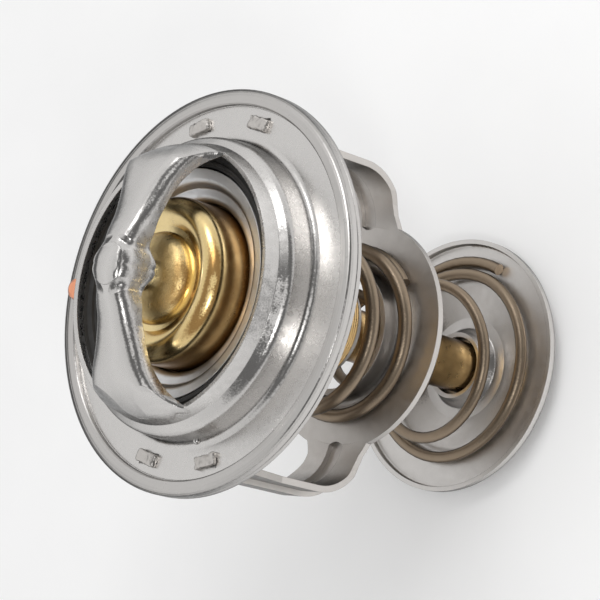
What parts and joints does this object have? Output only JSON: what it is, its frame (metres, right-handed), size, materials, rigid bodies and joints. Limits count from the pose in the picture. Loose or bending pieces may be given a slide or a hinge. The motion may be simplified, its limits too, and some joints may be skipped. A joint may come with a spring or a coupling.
{
  "type": "engine thermostat",
  "caption": "Wax-driven coolant valve: bridge over a domed flange, brass capsule, seal disc, two coil springs, stirrup, sprung bypass disc and loose vent pin.",
  "frame": {"origin": "centre of the bounding box at its base, on the valve axis at the underside of the bypass disc", "axes": "+Z along the valve axis towards the bridge, +Y through one leg of the stirrup, -X through the vent pin"},
  "size_m": [0.067, 0.067, 0.0852],
  "materials": {
    "cap_steel": "satin pressed stainless sheet",
    "flange_steel": "satin stainless sheet with a turned edge",
    "stirrup_steel": "satin pressed sheet, slightly darker",
    "disc_steel": "satin pressed stainless sheet",
    "spring_wire": "bronze-brown tempered spring wire",
    "pin_steel": "ground steel",
    "head_brass": "bright pressed brass",
    "capsule_brass": "turned brass",
    "seal_rubber": "black moulded rubber",
    "wax": "wax with metal powder",
    "slip_plastic": "low-friction plastic",
    "vent_copper": "copper-coloured head"
  },
  "bodies": {
    "housing_side": {"bridge_cap": "cap_steel", "flange_plate": "flange_steel", "stirrup": "stirrup_steel", "piston": "pin_steel", "main_spring": "spring_wire"},
    "element": {"guide_cover": "head_brass", "capsule_body": "capsule_brass", "wax_charge": "wax", "diaphragm": "seal_rubber", "seal_plug": "seal_rubber", "chafe_disc": "slip_plastic", "valve_disc": "disc_steel", "valve_seal": "seal_rubber", "seal_retainer": "disc_steel", "bypass_stem": "capsule_brass", "spring_seat": "disc_steel", "stem_clip": "pin_steel", "bypass_spring": "spring_wire"},
    "bypass": {"bypass_disc": "disc_steel"},
    "vent": {"vent_pin": "vent_copper", "vent_ball": "vent_copper"}
  },
  "joints": [
    {"name": "valve_lift", "type": "slide", "parent": "housing_side", "child": "element", "axis": [0, 0, -1], "range_m": [0, 0.008], "stiffness_N_per_m": 4000, "springref_m": -0.02, "deforming": ["main_spring"]},
    {"name": "bypass_give", "type": "slide", "parent": "element", "child": "bypass", "axis": [0, 0, 1], "range_m": [0, 0.004], "stiffness_N_per_m": 900, "springref_m": -0.012, "deforming": ["bypass_spring"]},
    {"name": "vent_rattle", "type": "slide", "parent": "housing_side", "child": "vent", "axis": [0, 0, 1], "range_m": [0, 0.0014]}
  ]
}
